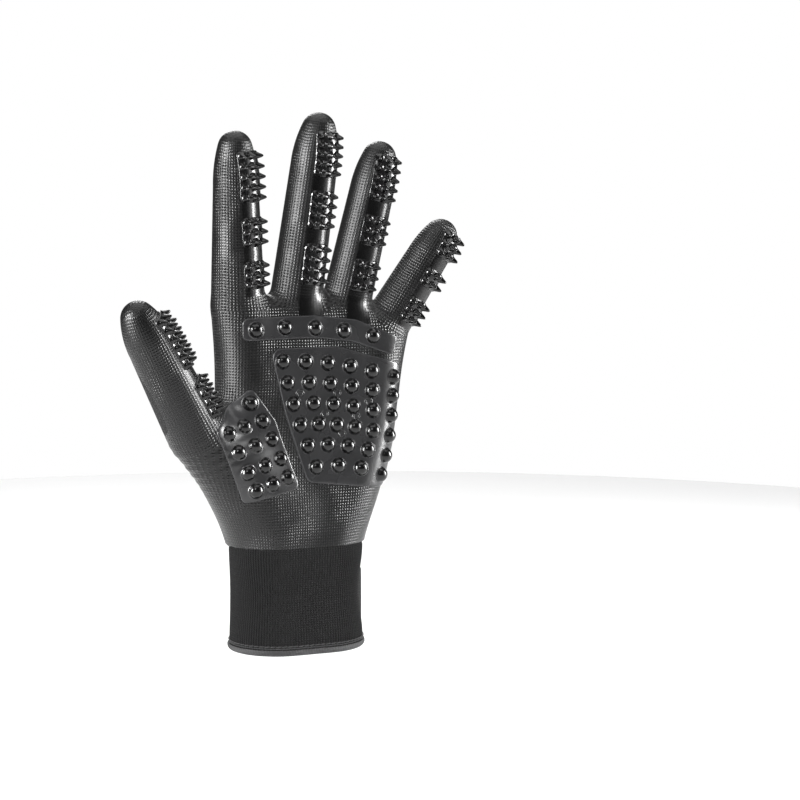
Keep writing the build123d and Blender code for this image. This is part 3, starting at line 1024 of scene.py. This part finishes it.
def over_edge(t, low, high, pace, start, power):
    """A level over the strap's rolled edge, as t goes from its rim inward."""
    rise = LEVEL["edge"][1] - LEVEL["tab"][0] + high
    return LEVEL["tab"][0] + low + rise * math.sin(math.pi * min(0.5, t * pace + start)) ** power


def flat_stitch(build, a, b, share, level, radius=0.2):
    """A stitch on the strap, along shares of the way from a to b."""
    flat = a + (b - a) * share[:, None]
    path, out = wrap(flat[:, 0], flat[:, 1], level)
    thread(build, path, radius, out[2])


def seam_stitches(build, loop, level, radius, start=0.0):
    """A row of stitches along a loop on the strap."""
    for a, b in zip(loop[:-3:4], loop[3::4]):
        if min(a[0], b[0]) >= start and np.linalg.norm(b - a) <= STITCH_GAP:
            flat_stitch(build, a, b, np.linspace(0, 1, 5), level, radius)


def make_strap():
    tab, panel, edge, stitches, hook = (Build() for _ in range(5))
    outline = strap_outline(0.0)
    n = len(outline)
    slab(tab, outline, *LEVEL["tab"], 1.2)

    inner = strap_outline(STRAP_EDGE_W - 0.5, start=STRAP_EDGE_W - 0.5)
    slab(panel, inner, LEVEL["panel"][0] - 0.2, LEVEL["panel"][1], 0.9,
         lambda flat: 0.45 * np.clip(edge_distance(flat, inner) / 5.0, 0, 1) ** 0.6)

    loops = []
    for t in np.linspace(0, 1, 11):
        loop = inset_loop(outline, STRAP_EDGE_W * t - 0.25)
        level = over_edge(t, 0.25, -0.15, 1.6, 0.02, 0.8)
        if t > 0.8:
            level -= (t - 0.8) / 0.2 * 0.55
        loops.append(wrap(np.maximum(loop[:, 0], 0.15), loop[:, 1], level)[0])
    run = np.arange(n) * 0.7
    uv = [np.column_stack([run, np.full(n, k * 0.34)]) for k in range(len(loops))]
    edge.add(np.concatenate(loops), row_quads(len(loops), n), np.concatenate(uv) / 100.0)

    inward = inset_loop(outline, 1.0) - outline
    for i in range(0, n, 3):
        if outline[i, 0] < 1.0:
            continue
        path = []
        for t in np.linspace(0.0, 1.0, 7):
            place = outline[i] + inward[i] * (STRAP_EDGE_W * t - 0.35)
            level = over_edge(t, 0.2, 0.1, 1.7, 0.05, 0.7)
            point, out = wrap(place[None, 0], place[None, 1], level)
            path.append(point[0])
        thread(stitches, path, 0.24, out[0])
    seam = inset_loop(outline, STRAP_EDGE_W + 0.05)
    seam_stitches(stitches, seam, LEVEL["edge"][1] + 0.12, 0.2, STRAP_EDGE_W)

    slab(hook, strap_outline(3.5, start=10.0), *LEVEL["hook"], 1.0)
    return (
        finish_piece(tab, "strap_webbing_tab", "strap_webbing", "strap", "strap_tab"),
        finish_piece(panel, "strap_leather_panel", "strap_panel", "strap", "strap_panel"),
        finish_piece(edge, "strap_bound_edge", "strap_webbing", "strap", "strap_edge"),
        finish_piece(stitches, "strap_blanket_stitch", "overlock_thread", "strap"),
        finish_piece(hook, "hook_tape", "hook_and_loop", "strap", "hook_patch"),
    )


def make_anchor():
    """The strap's sewn end, and the loop tape that the strap closes on."""
    anchor, stitches, loop = Build(), Build(), Build()
    start, end = -(HINGE - ANCHOR) * WRAP_R, -0.3
    corners = [(start, STRAP_Z[0]), (end, STRAP_Z[0]), (end, STRAP_Z[1]), (start, STRAP_Z[1])]
    slab(anchor, round_outline(corners, 0.8, 0.6), -1.4, LEVEL["tab"][1], 0.9)

    left, right, low, high = start + 1.4, end - 1.2, STRAP_Z[0] + 1.6, STRAP_Z[1] - 1.6
    box = [(left, low), (right, low), (right, high), (left, high)]
    for a, b in list(zip(box, box[1:] + box[:1])) + [(box[0], box[2]), (box[1], box[3])]:
        a, b = np.array(a), np.array(b)
        count = max(2, int(np.linalg.norm(b - a) / 2.2))
        for i in range(count):
            share = (i + 0.5 + np.linspace(-0.4, 0.4, 5)) / count
            flat_stitch(stitches, a, b, share, LEVEL["tab"][1] + 0.1 + 0.16 * hump(5))

    outline = strap_outline(3.5, beyond=8.0, start=6.0)
    slab(loop, outline, LEVEL["loop"][0] - 0.3, LEVEL["loop"][1], 0.9)
    seam_stitches(loop, inset_loop(outline, 1.3), LEVEL["loop"][1] + 0.02 + 0.14 * hump(5), 0.19)
    return (
        finish_piece(anchor, "strap_sewn_end", "strap_webbing", "hand", "strap_anchor"),
        finish_piece(stitches, "strap_box_stitch", "overlock_thread", "hand"),
        finish_piece(loop, "loop_tape", "hook_and_loop", "hand", "loop_patch"),
    )


strap_tab, strap_panel, strap_edge, strap_stitches, hook_tape = make_strap()
strap_anchor, box_stitches, loop_tape = make_anchor()


# ------------------------------------------------------------------------------------------------
# Materials. Pattern coordinates are the pieces' own, in millimetres.
class Paint:
    def __init__(self, name, **constants):
        self.material = bpy.data.materials.new(name)
        self.material.use_nodes = True
        self.tree = self.material.node_tree
        self.shader = next(n for n in self.tree.nodes if n.type == "BSDF_PRINCIPLED")
        for socket, value in constants.items():
            self.shader.inputs[socket.replace("_", " ")].default_value = value

    def node(self, kind, inputs=None, **settings):
        made = self.tree.nodes.new(kind)
        for key, value in settings.items():
            setattr(made, key, value)
        for socket, value in (inputs or {}).items():
            self.feed(made.inputs[socket], value)
        return made

    def feed(self, socket, value):
        if isinstance(value, bpy.types.NodeSocket):
            self.tree.links.new(value, socket)
        else:
            socket.default_value = value

    def math(self, operation, a, b=0.0, clamp=False):
        made = self.node("ShaderNodeMath", {0: a, 1: b}, operation=operation, use_clamp=clamp)
        return made.outputs[0]

    def plus(self, a, b):
        return self.math("ADD", a, b)

    def minus(self, a, b):
        return self.math("SUBTRACT", a, b)

    def times(self, a, b):
        return self.math("MULTIPLY", a, b)

    def attribute(self, name):
        return self.node("ShaderNodeAttribute", attribute_name=name).outputs["Fac"]

    def weave(self):
        uv = self.node("ShaderNodeUVMap", uv_map="Weave").outputs[0]
        split = self.node("ShaderNodeSeparateXYZ", {0: uv})
        return [self.times(split.outputs[k], 100.0) for k in (0, 1)]

    def object_noise(self, scale, detail=2.0):
        place = self.node("ShaderNodeTexCoord").outputs["Object"]
        inputs = {"Vector": place, "Scale": scale, "Detail": detail}
        return self.node("ShaderNodeTexNoise", inputs).outputs[0]

    def wave(self, value, period):
        """0 to 1 and back, once each period."""
        turned = self.math("COSINE", self.times(value, 2 * math.pi / period))
        return self.times(self.plus(turned, 1.0), 0.5)

    def ramp(self, value, low, high, to_low=0.0, to_high=1.0):
        inputs = {0: value, 1: low, 2: high, 3: to_low, 4: to_high}
        made = self.node("ShaderNodeMapRange", inputs, interpolation_type="SMOOTHSTEP")
        return made.outputs[0]

    def blend(self, share, a, b):
        """A number that goes from a to b as share goes from 0 to 1."""
        return self.plus(a, self.times(share, self.minus(b, a)))

    def colour(self, share, a, b):
        """A colour that goes from a to b as share goes from 0 to 1."""
        made = self.node("ShaderNodeMix", {0: share, 6: a, 7: b}, data_type="RGBA")
        return made.outputs[2]

    def surface(self, colour, rough, height=None, millimetres=0.0):
        """Joins the pattern to the shader, and gives the paint back."""
        self.feed(self.shader.inputs["Base Color"], colour)
        self.feed(self.shader.inputs["Roughness"], rough)
        if height is not None:
            inputs = {"Height": height, "Distance": millimetres / 1000.0, "Strength": 1.0}
            self.feed(self.shader.inputs["Normal"], self.node("ShaderNodeBump", inputs).outputs[0])
        return self

    def put(self, *objects):
        for obj in objects:
            obj.data.materials.clear()
            obj.data.materials.append(self.material)


def grey(value):
    return (value, value, value * 1.04, 1.0)


def knit_height(p, u, v, column, row):
    """V-shaped stitches in columns."""
    turn = p.math("FRACT", p.math("DIVIDE", u, column))
    off = p.math("ABSOLUTE", p.minus(turn, 0.5))
    legs = p.wave(p.plus(v, p.times(off, row * 1.1)), row)
    return p.times(legs, p.ramp(off, 0.5, 0.3))


def skin_paint():
    p = Paint("coated_knit", Sheen_Weight=0.01, Sheen_Roughness=0.45, Specular_IOR_Level=0.4)
    u, v = p.weave()
    rough_line = p.times(p.object_noise(900.0, 3.0), 0.9)
    inside = p.plus(p.attribute("coat"), p.minus(rough_line, 0.45))
    coated = p.ramp(inside, -0.12, 0.12)
    strip = p.ramp(p.attribute("bridge"), -0.9, 0.6)
    cloth = knit_height(p, u, v, 1.1, 0.95)
    dots = p.times(p.wave(u, 1.27), p.wave(v, 1.27))
    dots = p.times(dots, p.minus(1.0, p.times(strip, 0.9)))
    large, fine = p.object_noise(38.0, 3.0), p.object_noise(420.0)
    # The bare knit is painted lighter on its stitch legs and darker between them: painted shade;
    # the large noise adds a random tone.
    knit_tone_and_painted_shade = p.colour(cloth, grey(0.001), grey(0.005))
    knit_tone_and_painted_shade = p.colour(p.ramp(large, 0.35, 0.7, 0.0, 0.35), knit_tone_and_painted_shade, grey(0.004))
    # The dip is painted lighter on the crowns of its dots and darker between them: painted
    # highlights and shade; the large noise adds a random tone.
    dip_tone_and_painted_highlights = p.colour(dots, grey(0.001), grey(0.003))
    dip_tone_and_painted_highlights = p.colour(p.times(large, 0.4), dip_tone_and_painted_highlights, grey(0.003))
    dip_rough = p.blend(dots, 0.4, p.blend(large, 0.16, 0.28))
    dip_rough = p.blend(strip, dip_rough, p.blend(fine, 0.2, 0.3))
    dip_height = p.times(dots, p.ramp(large, 0.42, 0.62, 0.3, 0.75))
    height = p.blend(coated, p.times(cloth, 0.9), dip_height)
    height = p.plus(p.plus(height, p.times(coated, 0.7)), p.times(fine, 0.12))
    colour = p.colour(coated, knit_tone_and_painted_shade, dip_tone_and_painted_highlights)
    return p.surface(colour, p.blend(coated, p.blend(fine, 0.78, 0.92), dip_rough), height, 0.3)


def rubber_paint():
    p = Paint("moulded_rubber", Specular_IOR_Level=0.5)
    relief = p.attribute("relief")
    large, fine = p.object_noise(55.0, 3.0), p.object_noise(700.0)
    # The plate is painted lighter grey than its nubs and domes, which are the same rubber: painted
    # sheen for the plate's gloss; the large noise adds a random tone.
    plate = p.colour(large, grey(0.013), grey(0.024))
    nub = p.colour(large, grey(0.001), grey(0.002))
    rough = p.blend(relief, p.blend(large, 0.2, 0.34), p.blend(large, 0.16, 0.24))
    height = p.plus(p.times(fine, 0.5), p.times(large, 0.8))
    return p.surface(p.colour(relief, plate, nub), rough, height, 0.06)


def cuff_paint():
    p = Paint("ribbed_knit", Sheen_Weight=0.01, Sheen_Roughness=0.5, Specular_IOR_Level=0.15)
    u, v = p.weave()
    legs = knit_height(p, u, v, RIB, 1.0)
    rib = p.math("ABSOLUTE", p.math("SINE", p.times(u, math.pi / RIB)))
    fine = p.object_noise(520.0, 3.0)
    # The cuff is painted lighter on its rib crests and stitch legs and darker in the grooves
    # between them: painted shade; the fine noise adds a random tone.
    painted_rib_shade = p.times(p.math("POWER", rib, 1.4), p.blend(legs, 0.55, 1.0))
    colour = p.colour(painted_rib_shade, grey(0.0008), grey(0.006))
    colour = p.colour(p.times(fine, 0.3), colour, grey(0.003))
    return p.surface(colour, p.blend(fine, 0.7, 0.86), p.plus(legs, p.times(fine, 0.3)), 0.18)


def thread_paint():
    p = Paint("thread", Sheen_Weight=0.02, Sheen_Roughness=0.4, Specular_IOR_Level=0.45)
    twist = p.wave(p.plus(*p.weave()), 0.42)
    # The thread is painted lighter on the crests of its twist and darker in its grooves: painted
    # shade.
    colour = p.colour(twist, grey(0.005), grey(0.03))
    return p.surface(colour, p.blend(p.object_noise(800.0), 0.5, 0.7), twist, 0.07)


def webbing_paint():
    p = Paint("woven_binding", Sheen_Weight=0.02, Sheen_Roughness=0.4, Specular_IOR_Level=0.4)
    u, v = p.weave()
    warp, weft = p.wave(u, 0.8), p.wave(v, 0.6)
    cross = p.wave(p.plus(u, v), 1.4)
    height = p.math("MAXIMUM", p.times(warp, cross), p.times(weft, p.minus(1.0, cross)))
    # The binding is painted lighter on its raised yarns and darker in the hollows of the weave:
    # painted shade.
    colour = p.colour(height, grey(0.0015), grey(0.01))
    return p.surface(colour, p.blend(p.object_noise(600.0), 0.6, 0.78), height, 0.2)


def leather_paint():
    p = Paint("satin_panel", Specular_IOR_Level=0.6, Sheen_Weight=0.08)
    u, v = p.weave()
    lines, counter = p.wave(p.plus(u, v), 1.15), p.wave(p.minus(u, v), 1.15)
    height = p.math("MAXIMUM", lines, p.times(counter, 0.7))
    # The panel is painted lighter on its raised lines and darker in the grooves between them:
    # painted shade.
    colour = p.colour(height, grey(0.005), grey(0.015))
    rough = p.blend(height, 0.45, p.blend(p.object_noise(60.0, 3.0), 0.2, 0.32))
    return p.surface(colour, rough, height, 0.1)


def fuzz_paint():
    p = Paint("hook_and_loop", Sheen_Weight=0.05, Sheen_Roughness=0.6, Specular_IOR_Level=0.3)
    tuft = p.object_noise(1500.0, 4.0)
    # The tape is painted lighter on its higher tufts and darker between them: painted shade.
    colour = p.colour(p.ramp(tuft, 0.35, 0.65), grey(0.0015), grey(0.006))
    return p.surface(colour, p.blend(p.object_noise(300.0), 0.85, 0.95), tuft, 0.5)


skin_paint().put(*skin.values())
rubber_paint().put(*rubber_pieces)
cuff_paint().put(cuff)
thread_paint().put(hem, hem_stitch, strap_stitches, box_stitches)
webbing_paint().put(strap_tab, strap_edge, strap_anchor)
leather_paint().put(strap_panel)
fuzz_paint().put(hook_tape, loop_tape)


# ------------------------------------------------------------------------------------------------
# Floor, lights and camera.
FLOOR_Z = -0.3
CENTRE = (0.0, 0.0, 0.12)
WORLD_LIGHT, WORLD_SEEN = 0.07, 1.0


def make_floor():
    obj = make_mesh("floor", *lathe([(r, FLOOR_Z) for r in (620.0, 400.0, 200.0, 0.0)], 96))
    p = Paint("pale_floor", Specular_IOR_Level=0.2)
    p.surface(p.colour(p.object_noise(3.0), (0.86, 0.86, 0.86, 1), (0.9, 0.9, 0.9, 1)), 0.6)
    p.put(obj)
    obj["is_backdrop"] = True


def area_light(name, place, width, height, power, shadow=False, spread=180.0):
    light = bpy.data.lights.new(name, "AREA")
    light.use_shadow = shadow
    light.spread = math.radians(spread)
    light.shape, light.size, light.size_y, light.energy = "RECTANGLE", width, height, power
    obj = bpy.data.objects.new(name, light)
    obj.location = place
    obj.rotation_euler = (Vector(CENTRE) - Vector(place)).to_track_quat("-Z", "Y").to_euler()
    obj.visible_camera = False
    bpy.context.scene.collection.objects.link(obj)


make_floor()
area_light("key", (-0.75, -1.3, 1.0), 0.35, 0.35, 5.0, True)
area_light("fill", (1.2, -0.95, 0.4), 0.25, 0.9, 2.5)
area_light("left_strip", (-1.15, -0.2, 0.3), 0.2, 0.8, 7.0, spread=70.0)
area_light("right_strip", (1.05, -0.3, 0.3), 0.2, 0.8, 5.0, spread=70.0)
area_light("top", (0.0, 0.1, 1.6), 2.0, 2.0, 22.0)
area_light("back", (0.35, 1.45, 0.95), 0.5, 0.5, 6.0)

world = bpy.data.worlds.new("studio")
world.use_nodes = True
background = next(n for n in world.node_tree.nodes if n.type == "BACKGROUND")
background.inputs[0].default_value = (1.0, 1.0, 1.0, 1.0)
path = world.node_tree.nodes.new("ShaderNodeLightPath")
strength = world.node_tree.nodes.new("ShaderNodeMapRange")
strength.inputs[3].default_value = WORLD_LIGHT
strength.inputs[4].default_value = WORLD_SEEN
world.node_tree.links.new(path.outputs["Is Camera Ray"], strength.inputs[0])
world.node_tree.links.new(strength.outputs[0], background.inputs[1])
bpy.context.scene.world = world

AZIMUTH, ELEVATION = math.radians(-24.0), math.radians(5.5)
RIGHT = Vector((math.cos(AZIMUTH), math.sin(AZIMUTH), 0.0))
camera = bpy.data.objects.new("camera", bpy.data.cameras.new("camera"))
target = Vector((0.0, 0.0, 0.111)) + RIGHT * 0.0467
across = math.cos(ELEVATION)
away = Vector((math.sin(AZIMUTH) * across, -math.cos(AZIMUTH) * across, math.sin(ELEVATION)))
camera.location = target + away
camera.rotation_euler = (-away).to_track_quat("-Z", "Y").to_euler()
camera.data.lens = 101.0
camera.data.sensor_width = 36.0
camera.data.clip_end = 50.0
bpy.context.scene.collection.objects.link(camera)
bpy.context.scene.camera = camera
bpy.context.scene.view_settings.view_transform = "Standard"

bpy.context.view_layer.update()
boxes = {"cad": cad_box, "visual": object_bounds()}
{key: [list(corner) for corner in box] for key, box in boxes.items()}
